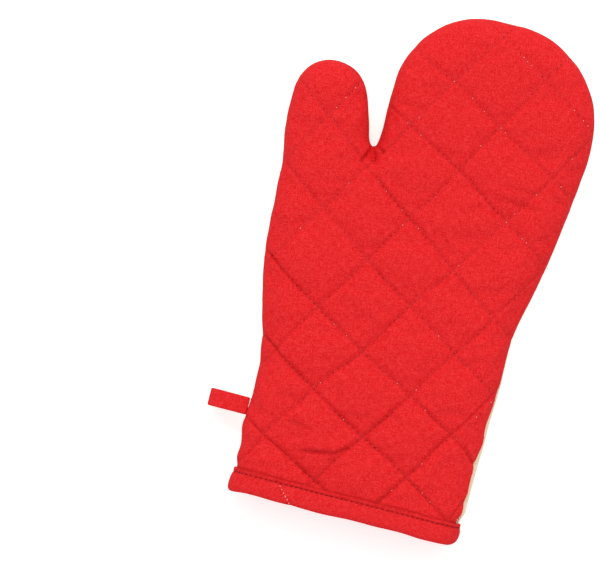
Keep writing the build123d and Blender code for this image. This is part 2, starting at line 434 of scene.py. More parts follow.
class MittColours(PropertyGroup):
    """Colours of the dressed mitt."""

    red: tint("Red cloth", "Colour of the front cloth", (0.80, 0.0200, 0.0240))
    red_light: tint("Light red", "Lightest threads of the red cloth", (0.88, 0.041, 0.043))
    red_dark: tint("Dark red", "Darkest threads of the red cloth", (0.71, 0.0100, 0.0125))
    red_thread: tint("Red thread", "Colour of the front thread", (0.58, 0.010, 0.013))
    ecru: tint("Ecru cloth", "Colour of the back cloth", (1.0, 0.79, 0.575))
    ecru_thread: tint("Ecru thread", "Colour of the back thread", (0.80, 0.69, 0.52))
    lining: tint("Lining", "Colour of the lining", (0.78, 0.70, 0.58))
    fibre: tint("Bare fibre", "Pale fibre at the needle holes", (0.95, 0.60, 0.54))
    floor: tint("Floor", "Colour of the table top", (0.8, 0.8, 0.8))


# Small helpers


def place(x, y, z=0.0):
    """Point of the pattern, in millimetres, as a place in the frame."""
    return pattern_origin + Vector((x, y, z)) * MM


def in_frame(points):
    """Array of pattern points, in millimetres, as places in the frame."""
    return points * MM + np.array(pattern_origin)


def in_pattern(points):
    """Array of places in the frame as pattern points, in millimetres."""
    return (points - np.array(pattern_origin)) / MM


def vectors_of(data, slot):
    """Array of the vectors in a mesh's data."""
    flat = np.empty(len(data) * 3, np.float32)
    data.foreach_get(slot, flat)
    return flat.reshape(-1, 3).astype(float)


def points_of(mesh):
    """Array of a mesh's vertices."""
    return vectors_of(mesh.vertices, "co")


def normals_of(mesh):
    """Array of a mesh's vertex normals."""
    return vectors_of(mesh.vertex_normals, "vector")


def read_attribute(mesh, name):
    """Array of the vectors kept for each vertex."""
    return vectors_of(mesh.attributes[name].data, "vector")


def write_attribute(mesh, name, values):
    """Keeps a value or a vector for each vertex."""
    values = np.asarray(values, np.float32)
    kind, slot = ("FLOAT", "value") if values.ndim == 1 else ("FLOAT_VECTOR", "vector")
    attribute = mesh.attributes.get(name) or mesh.attributes.new(name, kind, "POINT")
    attribute.data.foreach_set(slot, values.ravel())


def set_points(mesh, points):
    """Moves a mesh's vertices."""
    mesh.vertices.foreach_set("co", points.astype(np.float32).ravel())
    mesh.update()


def lay_flat(mesh, name, flat_points):
    """Gives a mesh flat coordinates, from a flat place for each vertex."""
    corner = np.empty(len(mesh.loops), np.int32)
    mesh.loops.foreach_get("vertex_index", corner)
    layer = mesh.uv_layers.new(name=name)
    layer.data.foreach_set("uv", flat_points[corner].astype(np.float32).ravel())


def new_piece(name, bm, material=None):
    """Object with the given mesh, smooth and at the origin."""
    mesh = bpy.data.meshes.new(name)
    bm.to_mesh(mesh)
    bm.free()
    mesh.shade_smooth()
    if material:
        mesh.materials.append(material)
    piece = bpy.data.objects.new(name, mesh)
    bpy.context.scene.collection.objects.link(piece)
    return piece


def apply_modifiers(piece):
    """Makes the modified mesh the piece's own."""
    graph = bpy.context.evaluated_depsgraph_get()
    made = bpy.data.meshes.new_from_object(piece.evaluated_get(graph))
    piece.modifiers.clear()
    old = piece.data
    piece.data = made
    bpy.data.meshes.remove(old)


def refine(piece):
    """Makes a piece's mesh one step finer and smoother."""
    finer = piece.modifiers.new("Finer", "SUBSURF")
    finer.levels = 1
    finer.render_levels = 1


def thicken(piece, thickness, offset=-1.0):
    """Gives cloth its thickness, inwards unless told otherwise."""
    solid = piece.modifiers.new("Cloth thickness", "SOLIDIFY")
    solid.thickness = thickness
    solid.offset = offset
    solid.use_even_offset = False


def noise_field(points, scale, seed):
    """Soft noise at each point, about -1 to 1."""
    shift = Vector((seed * 7.31, seed * 3.17, seed * 5.71))
    return np.array([noise.noise(Vector(p) * scale + shift) for p in points])


def keep_on_table(piece):
    """Lifts whatever of a piece lies below the table."""
    points = points_of(piece.data)
    points[:, 2] = np.maximum(points[:, 2], pattern_origin.z + TABLE_GAP)
    set_points(piece.data, points)


def smooth_step(value, low, high):
    """Rises softly from 0 at low to 1 at high."""
    t = np.clip((value - low) / (high - low), 0.0, 1.0)
    return t * t * (3.0 - 2.0 * t)


def bell(value, width):
    """Falls softly from 1 at zero to almost nothing at twice the width."""
    return np.exp(-((value / width) ** 2))


def push(bm, geom, run, steps):
    """Extrudes geometry along a run in equal steps, and gives the last row."""
    step = run / steps
    return bmesh.ops.spin(
        bm, geom=geom, cent=(0, 0, 0), axis=(0, 1, 0), dvec=step, angle=0.0, steps=steps
    )["geom_last"]


def spin(bm, geom, centre, axis, angle, steps):
    """Extrudes geometry round an axis in equal steps, and gives the last row."""
    return bmesh.ops.spin(bm, geom=geom, cent=centre, axis=axis, angle=angle, steps=steps)["geom_last"]


# Quilting lattice


def line_value(along, across, lines, pitch, which):
    """Stray or pull of the sewn lines at places along and across them, shared out between two lines."""
    marks = sorted(lines)
    rows = np.array([np.interp(along, [k[0] for k in lines[m]], [k[which] for k in lines[m]]) for m in marks])
    place_on = np.clip(across / pitch - marks[0], 0.0, len(marks) - 1.001)
    lower = place_on.astype(int)
    share = place_on - lower
    spot = np.arange(len(along))
    return rows[lower, spot] * (1.0 - share) + rows[lower + 1, spot] * share


def sewn_from_even(even, pitch):
    """Even lattice places as places on the sewn lattice."""
    a, b = even[:, 0], even[:, 1]
    waver = WAVER * np.sin(np.column_stack((b, a)) / WAVER_LENGTHS[0] + even / WAVER_LENGTHS[1])
    stray = (line_value(b, a, RISING_LINES, pitch, STRAY), line_value(a, b, FALLING_LINES, pitch, STRAY))
    return even + np.column_stack(stray) + waver


def even_from_sewn(sewn, pitch):
    """Places on the sewn lattice as even lattice places."""
    even = sewn.copy()
    for _ in range(6):
        even += sewn - sewn_from_even(even, pitch)
    return even


def line_strength(even, pitch):
    """How deep the nearest rising line and the nearest falling line pull at each place."""
    nearest = np.round(even / pitch) * pitch
    rising = line_value(even[:, 1], nearest[:, 0], RISING_LINES, pitch, PULL)
    falling = line_value(even[:, 0], nearest[:, 1], FALLING_LINES, pitch, PULL)
    return rising, falling


def line_distance(ab, pitch):
    """Distances to the nearest rising line and to the nearest falling line."""
    rest = ab - pitch * np.round(ab / pitch)
    return np.abs(rest[:, 0]), np.abs(rest[:, 1])


def pattern_from_lattice(ab):
    """Lattice places as pattern points."""
    return LATTICE_CENTRE + np.outer(ab[:, 0], FALLING) + np.outer(ab[:, 1], RISING)


def lattice_from_pattern(xy):
    """Pattern points as lattice places."""
    away = xy - LATTICE_CENTRE
    return np.column_stack((away @ FALLING, away @ RISING))


def is_thumb(even, xy):
    """True left of the dividing quilting line and of the cleft."""
    cleft_x = CLEFT[0] - np.maximum(0.0, xy[:, 1] - CLEFT[1]) * CLEFT_LEAN
    return (even[:, 0] < 0.0) & (xy[:, 0] < cleft_x)


# Closed padded form


def trace_outline(bm, corners):
    """Draws the rounded outline: straight runs are extruded from a vertex and corners are spun."""
    points = [Vector((x, y, 0.0)) for x, y, _ in corners]
    tip = None
    for k, (_, _, radius) in enumerate(corners):
        here = points[k]
        back = (points[k - 1] - here).normalized()
        ahead = (points[(k + 1) % len(points)] - here).normalized()
        turn = math.pi - back.angle(ahead)
        start = here + back * radius * math.tan(turn / 2)
        if tip is None:
            tip = bm.verts.new(start)
        else:
            tip = bmesh.ops.extrude_vert_indiv(bm, verts=[tip])["verts"][0]
            tip.co = start
        if radius:
            centre = here + (back + ahead).normalized() * (radius / math.cos(turn / 2))
            way = 1.0 if ahead.cross(back).z > 0 else -1.0
            steps = max(3, math.ceil(turn * radius / ARC_STEP))
            last = spin(bm, [tip], centre, (0, 0, 1), way * turn, steps)
            tip = next(g for g in last if isinstance(g, bmesh.types.BMVert))
    bm.verts.ensure_lookup_table()
    bmesh.ops.contextual_create(bm, geom=[tip, bm.verts[0]])
    return bmesh.ops.edgeloop_fill(bm, edges=bm.edges)["faces"]


def padded_form():
    """Closed form of the mitt in the pattern, in millimetres, running on past the cuff."""
    bm = bmesh.new()
    faces = trace_outline(bm, OUTLINE)
    grown = bmesh.ops.extrude_face_region(bm, geom=faces)
    raised = [g for g in grown["geom"] if isinstance(g, bmesh.types.BMVert)]
    bmesh.ops.translate(bm, verts=raised, vec=(0, 0, THICKNESS))
    bmesh.ops.recalc_face_normals(bm, faces=bm.faces)
    rims = [e for e in bm.edges if abs(e.verts[0].co.z - e.verts[1].co.z) < 1e-6]
    bmesh.ops.bevel(
        bm,
        geom=rims,
        offset=EDGE_RADIUS,
        offset_type="OFFSET",
        segments=EDGE_SEGMENTS,
        profile=0.5,
        affect="EDGES",
        clamp_overlap=False,
        material=-1,
    )
    return bm


def remeshed(bm, voxel):
    """Evenly meshed copy of a closed form."""
    piece = new_piece("remesh", bm)
    remesh = piece.modifiers.new("Remesh", "REMESH")
    remesh.mode = "VOXEL"
    remesh.voxel_size = voxel
    remesh.adaptivity = 0.0
    apply_modifiers(piece)
    mesh = piece.data
    bpy.data.objects.remove(piece)
    return mesh


def mark_panels(mesh, points, even):
    """Gives each face its panel's number, in the order of the panels' list."""
    corners = [list(face.vertices) for face in mesh.polygons]
    centres = np.array([np.mean(points[c], axis=0) for c in corners])
    even_centres = np.array([np.mean(even[c], axis=0) for c in corners])
    panel = 2 * (centres[:, 2] < SEAM_Z) + is_thumb(even_centres, centres[:, :2])
    mesh.polygons.foreach_set("material_index", panel.astype(np.int32))


def even_skin(pitch, cells):
    """Mesh of the padded form, in the pattern, with rows of faces that follow the quilting lines.

    Gives the mesh, its points, the even lattice place of each point and the size of a face.
    """
    voxel = pitch / cells
    bm = padded_form()
    corners = np.array([v.co[:] for v in bm.verts])
    even = even_from_sewn(lattice_from_pattern(corners[:, :2]), pitch)
    row_shift = (math.ceil(SEAM_Z / voxel) + 0.5) * voxel - SEAM_Z
    for v, (a, b) in zip(bm.verts, even):
        v.co = (a + voxel / 2, b + voxel / 2, v.co.z + row_shift)
    bmesh.ops.recalc_face_normals(bm, faces=bm.faces)
    mesh = remeshed(bm, voxel)
    points = points_of(mesh)
    even = points[:, :2] - voxel / 2
    points[:, :2] = pattern_from_lattice(sewn_from_even(even, pitch))
    points[:, 2] -= row_shift
    set_points(mesh, points)
    mark_panels(mesh, points, even)
    return mesh, points, even, voxel


# Sculpting of the quilted skin


def roll_seam(points):
    """Rolls the seam up on the right of the wrist, so that a sliver of the back cloth shows."""
    y = points[:, 1]
    wall = CUFF_HALF + np.maximum(0.0, y - WRIST_BEND_Y) ** 2 / (2.0 * WRIST_RIGHT[2])
    near = (points[:, 0] > wall - EDGE_RADIUS - ROLL_MARGIN) & (y < ROLL_TOP)
    lift = ROLL_LIFT * smooth_step(y, *ROLL_START) * (1.0 - ROLL_EASE_SHARE * smooth_step(y, *ROLL_EASE))
    lift *= 1.0 - smooth_step(y, *ROLL_END)
    lift *= 1.0 - ROLL_DIP * bell(y - ROLL_DIP_Y, ROLL_DIP_WIDTH)
    lift *= 1.0 - ROLL_WAVE + ROLL_WAVE * np.sin(y / ROLL_WAVE_LENGTH)
    height = points[:, 2] - SEAM_Z
    bend = np.arcsin(np.clip((np.abs(height) - HALF_WALL) / EDGE_RADIUS, 0.0, 1.0))
    along = np.sign(height) * (np.minimum(np.abs(height), HALF_WALL) + EDGE_RADIUS * bend)
    moved = along + lift * bell(along, ROLL_SPREAD)
    new_bend = np.clip((np.abs(moved) - HALF_WALL) / EDGE_RADIUS, 0.0, math.pi / 2)
    new_height = np.sign(moved) * (np.minimum(np.abs(moved), HALF_WALL) + EDGE_RADIUS * np.sin(new_bend))
    shift_x = EDGE_RADIUS * (np.cos(new_bend) - np.cos(bend))
    points[near, 0] += shift_x[near]
    points[near, 2] += (new_height - height)[near]


def draw_in_edges(points):
    """Draws both edges in above the cuff, and the cloth on both sides of the hanging loop."""
    y = points[:, 1]
    right = RIGHT_HOLLOW * smooth_step(y, *RIGHT_HOLLOW_START) * (1.0 - smooth_step(y, *RIGHT_HOLLOW_END))
    points[:, 0] -= right * smooth_step(points[:, 0], CUFF_HALF - RIGHT_HOLLOW_REACH, CUFF_HALF)
    left = LEFT_HOLLOW * (1.0 - smooth_step(y, *LEFT_HOLLOW_END))
    left += LEFT_DENT * bell(y - LEFT_DENT_Y, DENT_WIDTH)
    points[:, 0] += left * smooth_step(-points[:, 0], CUFF_HALF - LEFT_HOLLOW_REACH, CUFF_HALF)
    reach_start, reach_end = LOOP_DENT_REACH
    at_loop = bell(y - LOOP_Y, DENT_WIDTH)
    at_loop *= smooth_step(-points[:, 0], CUFF_HALF - reach_start, CUFF_HALF - reach_end)
    points[:, 0] += LOOP_DENT * at_loop * smooth_step(np.abs(points[:, 2] - SEAM_Z), *LOOP_DENT_HEIGHT)


def drop_seam(points):
    """Sets the seam lower in the cleft, where the front cloth then hides it, and pinches its bottom."""
    above = points[:, 1] - CLEFT[1]
    away = np.hypot(points[:, 0] - CLEFT[0], (above - CLEFT_DROP_UP) / CLEFT_DROP_STRETCH)
    low = bell(points[:, 2] - SEAM_Z, CLEFT_DROP_HEIGHT)
    points[:, 2] -= CLEFT_DROP * bell(away, CLEFT_DROP_REACH) * low
    across = points[:, 0] - (CLEFT[0] - above * CLEFT_LEAN)
    pinch = CLEFT_PINCH * bell(above - CLEFT_PINCH_UP, CLEFT_PINCH_REACH) * bell(across, CLEFT_PINCH_WIDTH)
    points[:, 0] -= across * pinch


def padding_strength(y):
    """How full the padding is: full in the hand, flatter in the fingers."""
    return 1.0 - FINGERS_FLATTER * smooth_step(y, *FINGERS_FROM)


def tucked(y):
    """1 where the cover lies flat under the cuff binding, 0 above it."""
    return 1.0 - smooth_step(y, *FLAT_UNDER_BINDING)


def tuck_in(points):
    """Draws the cover in under the binding, so that it stays inside the binding's fold all round the cuff."""
    x, z = points[:, 0], points[:, 2] - SEAM_Z
    near_x = np.clip(x, TUCK - CORNER_X, CORNER_X - 2.0 * TUCK)
    near_z = np.clip(z, -HALF_WALL, HALF_WALL)
    away = np.hypot(x - near_x, z - near_z)
    share = np.minimum(1.0, (EDGE_RADIUS - TUCK) / np.maximum(away, 1e-6))
    under = 1.0 - smooth_step(points[:, 1], *INSIDE_BINDING)
    points[:, 0] += under * (near_x + (x - near_x) * share - x)
    points[:, 2] += under * (near_z + (z - near_z) * share - z)


def settle_cloth(piece, pins, frames):
    """Lets the padded skin settle as cloth between its sewn lines, and keeps the settled shape."""
    group = piece.vertex_groups.new(name="sewn")
    group.add([int(k) for k in np.flatnonzero(pins)], 1.0, "REPLACE")
    cloth = piece.modifiers.new("Cloth", "CLOTH")
    for name, value in CLOTH_SETTINGS.items():
        setattr(cloth.settings, name, value)
    cloth.settings.effector_weights.gravity = 0.0
    cloth.collision_settings.use_collision = False
    cloth.point_cache.frame_start = 1
    cloth.point_cache.frame_end = frames
    for number in range(1, frames + 1):
        bpy.context.scene.frame_set(number)
    apply_modifiers(piece)
    piece.vertex_groups.clear()
    bpy.context.scene.frame_set(1)


def crease_depth(points):
    """Depth of the creases at each point of the front."""
    total = np.zeros(len(points))
    for x0, y0, x1, y1, depth, width in CREASES:
        start, run = np.array((x0, y0)), np.array((x1 - x0, y1 - y0))
        t = np.clip(((points[:, :2] - start) @ run) / (run @ run), 0.0, 1.0)
        away = np.linalg.norm(points[:, :2] - start - np.outer(t, run), axis=1) / width
        fade = np.clip(1.0 - np.abs(2.0 * t - 1.0) ** 3, 0.0, 1.0)
        total += depth * fade * (bell(away, 1.0) - CREASE_SWELL * bell(away, CREASE_SWELL_WIDTH))
    return total


def quilted_skin(sizes):
    """Whole skin of the mitt, front and back, padded, settled and made finer."""
    pitch = sizes.quilt_pitch / MM
    mesh, points, even, voxel = even_skin(pitch, COVER_CELLS)
    seam = np.abs(points[:, 2] - SEAM_Z) < 0.4 * voxel
    seam &= np.abs(normals_of(mesh)[:, 2]) < 0.5
    roll_seam(points)
    draw_in_edges(points)
    drop_seam(points)
    set_points(mesh, points)
    outward = normals_of(mesh)
    upright = np.abs(outward[:, 2])
    near_rising, near_falling = line_distance(even, pitch)
    sewn = (np.minimum(near_rising, near_falling) < 0.5 * voxel) & (upright > 0.35)
    facing = smooth_step(upright, -0.25, 0.7)
    tuck = tucked(points[:, 1])
    fullness = padding_strength(points[:, 1]) * facing * (1.0 - tuck)
    crown = 1.0
    for near, strength in zip((near_rising, near_falling), line_strength(even, pitch)):
        pull = (SOFT_PULL + (1.0 - SOFT_PULL) * strength) * np.exp(-near / PULL_REACH)
        crown = crown * (1.0 - np.minimum(pull, 1.0))
    lie = sum(depth * noise_field(points, scale, seed) for depth, scale, seed in UNEVENNESS)
    wavy = EDGE_WAVE * noise_field(points * np.array((1.0, 1.0, 0.3)), EDGE_WAVE_SCALE, 9) - 0.1
    wavy *= (1.0 - facing) * smooth_step(points[:, 1], *EDGE_WAVE_FROM)
    puff = sizes.puff / MM * fullness * (crown - 1.0)
    points += outward * (puff + lie * fullness + wavy - TUCK * tuck)[:, None]

    write_attribute(mesh, "even", np.column_stack((even, seam)))
    write_attribute(mesh, "outward", outward)
    before = in_frame(points)
    set_points(mesh, before)
    skin = bpy.data.objects.new("skin", mesh)
    bpy.context.scene.collection.objects.link(skin)
    settle_cloth(skin, sewn | seam | (tuck > 0.5), sizes.settle_frames)
    moved = points_of(skin.data) - before
    moved *= smooth_step(upright, 0.15, 0.75)[:, None]
    far = np.linalg.norm(moved, axis=1)
    moved *= np.minimum(1.0, SETTLE_LIMIT / np.maximum(far, 1e-9))[:, None]
    set_points(skin.data, before + moved)
    refine(skin)
    apply_modifiers(skin)
    return skin


def finish_skin(skin, sizes):
    """Pulls the narrow grooves, puckers and creases into the finer skin, and lays its flat coordinates."""
    mesh = skin.data
    pitch = sizes.quilt_pitch / MM
    points = in_pattern(points_of(mesh))
    kept = read_attribute(mesh, "even")
    even, seam = kept[:, :2], kept[:, 2]
    outward = read_attribute(mesh, "outward")
    outward /= np.linalg.norm(outward, axis=1)[:, None]
    front = outward[:, 2] > 0.0
    facing = smooth_step(np.abs(outward[:, 2]), 0.0, 0.6)
    near_rising, near_falling = line_distance(even, pitch)
    on_rising = near_rising < near_falling
    nearest = np.minimum(near_rising, near_falling)
    along = np.where(on_rising, even[:, 1], even[:, 0])
    strength = np.where(on_rising, *line_strength(even, pitch)) * facing * (1.0 - tucked(points[:, 1]))

    notch = np.exp(-((nearest / NOTCH_WIDTH) ** 3))
    dimple = 0.5 - 0.5 * np.cos(2.0 * math.pi * along / (sizes.stitch_step / MM))
    marks = np.round(even / pitch)
    line_id = np.where(on_rising, marks[:, 0], 40 + marks[:, 1])
    wander = np.column_stack((along * 0.19, nearest * 0.05, line_id * 3.7))
    pucker = noise_field(wander, 1.0, 3) * np.exp(-nearest / PUCKER_REACH) * PUCKER
    dividing = (np.abs(even[:, 0]) < DIVIDING_WIDTH) & on_rising
    notch_depth = np.where(dividing, DIVIDING_NOTCH, 1.0) * (sizes.groove / MM)
    depth = notch_depth * strength * notch * (NOTCH_BASE + NOTCH_DIMPLE * dimple)
    depth -= pucker * np.minimum(strength, 1.0)
    creases = np.where(front, crease_depth(points) * facing, 0.0)
    depth += creases
    depth += SEAM_SINK * seam
    lie = FINE_WAVE * noise_field(points, FINE_WAVE_SCALE, 5)
    points += outward * (lie * facing - depth)[:, None]
    tuck_in(points)
    points[:, 2] = np.where(front, points[:, 2], np.maximum(points[:, 2], BACK_GAP))
    set_points(mesh, in_frame(points))

    write_attribute(mesh, "outward", normals_of(mesh))
    # Painted shade, kept in the groove attribute: darker along the sewn lines and their needle holes, in the
    # seam and in the creases, and a painted shadow line just above the binding
    dark = PAINTED_LINE_SHADE * bell(nearest, 1.0) * strength * (0.6 + 0.4 * dimple)
    dark += PAINTED_SEAM_SHADE * seam + PAINTED_CREASE_SHADE * creases
    dark += PAINTED_BINDING_SHADOW * bell(points[:, 1] - BINDING_WIDTH - 0.8, 0.9)
    write_attribute(mesh, "groove", np.clip(dark, 0.0, 1.0))
    write_attribute(mesh, "pull", np.clip(strength, 0.0, 1.3))
    tilt = np.arccos(np.clip(np.abs(outward[:, 2]), 0.0, 1.0))
    flat = outward[:, :2] / np.maximum(np.linalg.norm(outward[:, :2], axis=1), 1e-6)[:, None]
    lay_flat(mesh, "weave", points[:, :2] + flat * (EDGE_RADIUS * (tilt - np.sin(tilt)))[:, None])
    lay_flat(mesh, "lattice", even)


def cut_panel(skin, number, cut_y):
    """Copy of one panel of the skin, cut off at the cuff."""
    bm = bmesh.new()
    bm.from_mesh(skin.data)
    bmesh.ops.delete(bm, geom=[f for f in bm.faces if f.material_index != number], context="FACES")
    bmesh.ops.bisect_plane(
        bm,
        geom=bm.verts[:] + bm.edges[:] + bm.faces[:],
        dist=1e-6,
        plane_co=place(0, cut_y),
        plane_no=(0, 1, 0),
        clear_inner=True,
    )
    for face in bm.faces:
        face.material_index = 0
    for edge in bm.edges:
        if edge.is_boundary:
            edge.smooth = False
    return bm


def share_normals(piece):
    """Shades a panel with the whole skin's normals, so that panels meet without a visible edge."""
    mesh = piece.data
    mesh.normals_split_custom_set_from_vertices(read_attribute(mesh, "outward"))
    mesh.attributes.remove(mesh.attributes["outward"])


def bend_with(piece, section):
    """Bakes a piece's transform into its mesh, a thumb piece just as any other piece."""
    if section == "thumb":
        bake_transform(piece)
    else:
        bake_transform(piece)


# Materials


def new_node(tree, kind, **settings):
    """Shader node of a kind, with its settings."""
    node = tree.nodes.new("ShaderNode" + kind)
    for name, value in settings.items():
        setattr(node, name, value)
    return node


def set_inputs(tree, node, values):
    """Sets a node's inputs by name: sockets are linked, and anything else becomes the input's own value."""
    for label, value in values.items():
        if isinstance(value, bpy.types.NodeSocket):
            tree.links.new(value, node.inputs[label])
        else:
            node.inputs[label].default_value = value


def math_node(tree, operation, *values, clamp=False):
    """Result of a math node on values or sockets."""
    node = new_node(tree, "Math", operation=operation, use_clamp=clamp)
    set_inputs(tree, node, dict(enumerate(values)))
    return node.outputs[0]


def scaled_vector(tree, vector, scale):
    """Vector multiplied by another."""
    node = new_node(tree, "VectorMath", operation="MULTIPLY")
    set_inputs(tree, node, {0: vector, 1: scale})
    return node.outputs[0]


def noise_value(tree, vector, scale, detail, roughness):
    """Value of a noise texture."""
    node = new_node(tree, "TexNoise")
    set_inputs(tree, node, {"Scale": scale, "Detail": detail, "Roughness": roughness, "Vector": vector})
    return node.outputs[0]


def colour_ramp(tree, value, stops):
    """Colour that a value picks between stops, which rise in position."""
    node = new_node(tree, "ValToRGB")
    elements = node.color_ramp.elements
    for _ in stops[2:]:
        elements.new(0.5)
    for element, (position, colour) in zip(elements, stops):
        element.position = position
        element.color = opaque(colour)
    set_inputs(tree, node, {0: value})
    return node.outputs[0]


def bumped_normal(tree, height, strength, distance):
    """Normal of a surface that a height roughens."""
    node = new_node(tree, "Bump")
    set_inputs(tree, node, {"Strength": strength, "Distance": distance, "Height": height})
    return node.outputs[0]


def new_group(name, inputs, output_names):
    """Empty shader node group with named sockets."""
    group = bpy.data.node_groups.new(name, "ShaderNodeTree")
    for label, kind, default in inputs:
        socket = group.interface.new_socket(name=label, in_out="INPUT", socket_type=kind)
        if default is not None:
            socket.default_value = default
    for label in output_names:
        group.interface.new_socket(name=label, in_out="OUTPUT", socket_type="NodeSocketFloat")
    return group, group.nodes.new("NodeGroupInput").outputs, group.nodes.new("NodeGroupOutput")


def linen_group():
    """Plain weave with thick and thin threads. The vector is in millimetres."""
    found = bpy.data.node_groups.get("linen_weave")
    if found:
        return found
    group, given, sink = new_group(
        "linen_weave",
        [("Vector", "NodeSocketVector", None), ("Threads per mm", "NodeSocketFloat", 1.8)],
        ["Height", "Tone"],
    )
    calc = partial(math_node, group)
    split = new_node(group, "SeparateXYZ")
    set_inputs(group, split, {0: given["Vector"]})
    slubs, counts, threads = [], [], []
    for axis, stretch in enumerate(((1.7, 0.22, 1.0), (0.22, 1.7, 1.0))):
        slub = noise_value(group, scaled_vector(group, given["Vector"], stretch), 1.0, 2.0, 0.6)
        count = calc("MULTIPLY", split.outputs[axis], given["Threads per mm"])
        count = calc("ADD", count, calc("MULTIPLY", slub, 0.8))
        slubs.append(slub)
        counts.append(count)
        threads.append(calc("ABSOLUTE", calc("SINE", calc("MULTIPLY", count, math.pi))))
    cell = calc("ADD", *(calc("FLOOR", count) for count in counts))
    over = calc("FLOORED_MODULO", cell, 2.0)
    heights = []
    for thread, on_top in zip(threads, (over, calc("SUBTRACT", 1.0, over))):
        share = calc("ADD", calc("MULTIPLY", on_top, 0.7), 0.3)
        heights.append(calc("MULTIPLY", thread, share))
    height = calc("MULTIPLY", calc("ADD", *heights), 0.5)
    heather = noise_value(group, given["Vector"], 1.5, 1.0, 0.6)
    tone = calc("MULTIPLY", calc("ADD", *slubs), 0.36)
    tone = calc("ADD", tone, calc("MULTIPLY", heather, 0.42))
    tone = calc("ADD", tone, calc("MULTIPLY", height, 0.16))
    set_inputs(group, sink, {"Height": height, "Tone": calc("SUBTRACT", tone, 0.14)})
    return group


def crease_shadow_line_group():
    """Narrow dashed line of painted shadow in the stitched crease along the quilting lattice. The vector is the
    even lattice place.
    """
    found = bpy.data.node_groups.get("painted_crease_shadow")
    if found:
        return found
    group, given, sink = new_group(
        "painted_crease_shadow",
        [
            ("Vector", "NodeSocketVector", None),
            ("Half pitch", "NodeSocketFloat", 19.5),
            ("Half stitch", "NodeSocketFloat", 1.75),
        ],
        ["Line"],
    )
    calc = partial(math_node, group)
    split = new_node(group, "SeparateXYZ")
    set_inputs(group, split, {0: given["Vector"]})
    x, y = split.outputs[:2]
    lines = []
    for across, along in ((x, y), (y, x)):
        near = calc("PINGPONG", across, given["Half pitch"])
        stitch = calc("PINGPONG", along, given["Half stitch"])
        fade = new_node(group, "MapRange", interpolation_type="SMOOTHSTEP")
        reach = {"From Min": 0.15, "From Max": 0.95, "To Min": 1.0, "To Max": 0.0}
        set_inputs(group, fade, {"Value": near, **reach})
        dash = calc("MULTIPLY_ADD", stitch, -0.25, 1.0)
        lines.append(calc("MULTIPLY", fade.outputs[0], dash))
    set_inputs(group, sink, {"Line": calc("MAXIMUM", *lines)})
    return group


def opaque(colour):
    """Colour with full opacity."""
    return tuple(colour) + (1.0,)


def shade(colour, factor):
    """Colour made lighter or darker."""
    return tuple(min(1.0, c * factor) for c in colour)


def new_material(name):
    """Material with nodes, its tree and its shader."""
    material = bpy.data.materials.new(name)
    material.use_nodes = True
    return material, material.node_tree, material.node_tree.nodes["Principled BSDF"]


def cloth_material(name, colour, light, dark):
    """Woven cloth with uneven threads, and painted shade along its sewn lines and in its grooves."""
    sizes = bpy.context.scene.mitt_sizes
    material, tree, shader = new_material(name)
    calc = partial(math_node, tree)
    weave_at = new_node(tree, "UVMap", uv_map="weave")
    linen = new_node(tree, "Group", node_tree=linen_group())
    set_inputs(tree, linen, {"Vector": weave_at.outputs[0]})
    height = linen.outputs["Height"]
    tone = colour_ramp(tree, linen.outputs["Tone"], ((0.43, dark), (0.5, colour), (0.58, light)))
    # Painted shadow of the stitched creases along the quilting lattice, as strong as each line pulls
    lattice_at = new_node(tree, "UVMap", uv_map="lattice")
    sewn = new_node(tree, "Group", node_tree=crease_shadow_line_group())
    half_sizes = {"Half pitch": sizes.quilt_pitch / MM / 2, "Half stitch": sizes.stitch_step / MM / 2}
    set_inputs(tree, sewn, {"Vector": lattice_at.outputs[0], **half_sizes})
    pull = new_node(tree, "Attribute", attribute_name="pull")
    line = calc("MULTIPLY", sewn.outputs["Line"], pull.outputs["Fac"])
    line = calc("MULTIPLY", line, PAINTED_STITCH_SHADOW_STRENGTH)
    # Painted shade from the groove attribute: grooves, seam, creases and the shadow line above the binding
    groove = new_node(tree, "Attribute", attribute_name="groove")
    painted_broad_shade = calc("MULTIPLY", groove.outputs["Fac"], PAINTED_GROOVE_SHADE_STRENGTH)
    deep = new_node(tree, "Mix", data_type="RGBA", blend_type="MULTIPLY")
    share = calc("ADD", line, painted_broad_shade, clamp=True)
    set_inputs(tree, deep, {"Factor": share, "A": tone, "B": opaque(PAINTED_SHADE_COLOUR)})
    surface = {
        "Base Color": deep.outputs["Result"],
        "Roughness": calc("MULTIPLY_ADD", height, 0.12, 0.84),
        "Normal": bumped_normal(tree, height, 0.55, 0.0002),
        "Specular IOR Level": 0.08,
        "Sheen Weight": 0.06,
        "Sheen Roughness": 0.5,
        "Sheen Tint": opaque(colour),
    }
    set_inputs(tree, shader, surface)
    return material


def thread_material(name, colour):
    """Twisted sewing thread."""
    material, tree, shader = new_material(name)
    where = new_node(tree, "TexCoord")
    fine = scaled_vector(tree, where.outputs["Object"], (1000.0, 1000.0, 1000.0))
    twist = noise_value(tree, fine, 2.6, 2.0, 0.6)
    surface = {
        "Base Color": colour_ramp(tree, twist, ((0.35, shade(colour, 0.75)), (0.7, shade(colour, 1.2)))),
        "Normal": bumped_normal(tree, twist, 0.4, 0.0001),
        "Roughness": 0.7,
        "Specular IOR Level": 0.1,
    }
    set_inputs(tree, shader, surface)
    return material


def material_named(name, make, *values):
    """Material made once."""
    return bpy.data.materials.get(name) or make(name, *values)


def red_cloth(name, colours):
    """Red woven cloth."""
    return material_named(name, cloth_material, colours.red, colours.red_light, colours.red_dark)


def plain_cloth(name, colour):
    """Woven cloth whose threads are a little lighter and darker than its colour."""
    return material_named(name, cloth_material, colour, shade(colour, 1.08), shade(colour, 0.9))


# Operators


